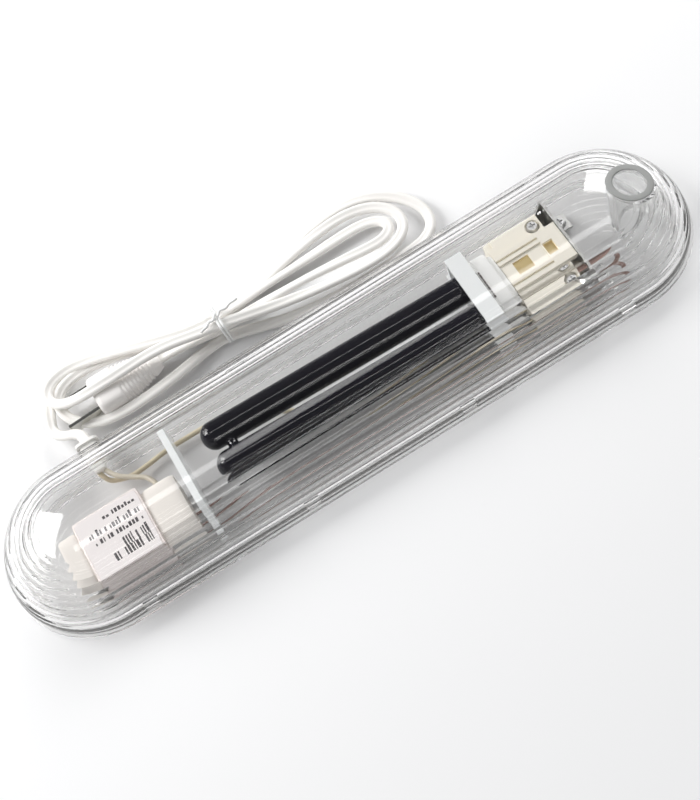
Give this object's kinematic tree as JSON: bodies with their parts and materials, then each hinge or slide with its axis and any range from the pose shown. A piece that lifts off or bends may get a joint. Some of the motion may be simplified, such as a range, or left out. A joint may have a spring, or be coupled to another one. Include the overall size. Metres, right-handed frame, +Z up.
{
  "type": "sealed ultraviolet lamp unit",
  "caption": "Clear fluted capsule case around a plug-in twin-tube ultraviolet lamp, its holder and ballast, with a hanging sleeve at one end and a tied mains lead.",
  "frame": {"origin": "centre of the case's flat underside", "axes": "+X along the case towards the hanging sleeve, +Y towards the side where the mains lead leaves, +Z up out of the tray"},
  "size_m": [0.332, 0.129, 0.0345],
  "materials": {
    "tray_plastic": "clear injection-moulded plastic, polished",
    "cover_plastic": "clear injection-moulded plastic with lengthwise flutes",
    "sleeve_plastic": "clear plastic, matt bore",
    "panel_plastic": "frosted clear plastic with bright edges",
    "core_lacquer": "lacquered laminations",
    "coil_tape": "wound tape",
    "plate_foil": "printed paper, left blank of names",
    "bare_steel": "zinc-plated sheet",
    "screw_steel": "zinc-plated",
    "holder_moulding": "cream urea moulding",
    "contact_brass": "bright",
    "rest_plastic": "clear moulded plastic",
    "lead_beige": "vinyl",
    "lead_brown": "vinyl",
    "gland_rubber": "soft moulding",
    "cord_vinyl": "soft vinyl",
    "tie_plastic": "plastic-covered wire",
    "plug_vinyl": "moulded vinyl",
    "blade_nickel": "nickel-plated",
    "tube_glass": "black ultraviolet-passing glass",
    "cap_plastic": "white moulding",
    "pin_brass": "plated"
  },
  "bodies": {
    "housing": {"tray_shell": "tray_plastic", "partition_panel": "panel_plastic", "ballast_core": "core_lacquer", "ballast_coil_left": "coil_tape", "ballast_coil_right": "coil_tape", "ballast_plate": "plate_foil", "ballast_strip": "bare_steel", "ballast_screw_left": "screw_steel", "ballast_screw_right": "screw_steel", "holder_body": "holder_moulding", "holder_contact_front": "contact_brass", "holder_contact_back": "contact_brass", "holder_screw_far": "screw_steel", "holder_screw_near": "screw_steel", "holder_bracket": "bare_steel", "bracket_screw_far": "screw_steel", "bracket_screw_near": "screw_steel", "bracket_ear_screw": "screw_steel", "lamp_rest": "rest_plastic", "lead_neutral": "lead_beige", "lead_phase": "lead_brown", "lead_link": "lead_beige", "cord_gland": "gland_rubber", "mains_cord": "cord_vinyl", "cord_hank": "cord_vinyl", "cord_tie": "tie_plastic", "plug_body": "plug_vinyl", "plug_blade_far": "blade_nickel", "plug_blade_near": "blade_nickel"},
    "cover": {"cover_shell": "cover_plastic", "hanging_sleeve": "sleeve_plastic"},
    "lamp": {"lamp_tube_far": "tube_glass", "lamp_tube_near": "tube_glass", "lamp_bridge": "tube_glass", "lamp_cap": "cap_plastic", "lamp_post": "cap_plastic", "lamp_pin_far": "pin_brass", "lamp_pin_near": "pin_brass"}
  },
  "joints": [
    {"name": "cover_lift", "type": "slide", "parent": "housing", "child": "cover", "axis": [0, 0, 1], "range_m": [0, 0.05]},
    {"name": "lamp_pull", "type": "slide", "parent": "housing", "child": "lamp", "axis": [-0.999, 0, 0.0436], "range_m": [0, 0.01]}
  ]
}
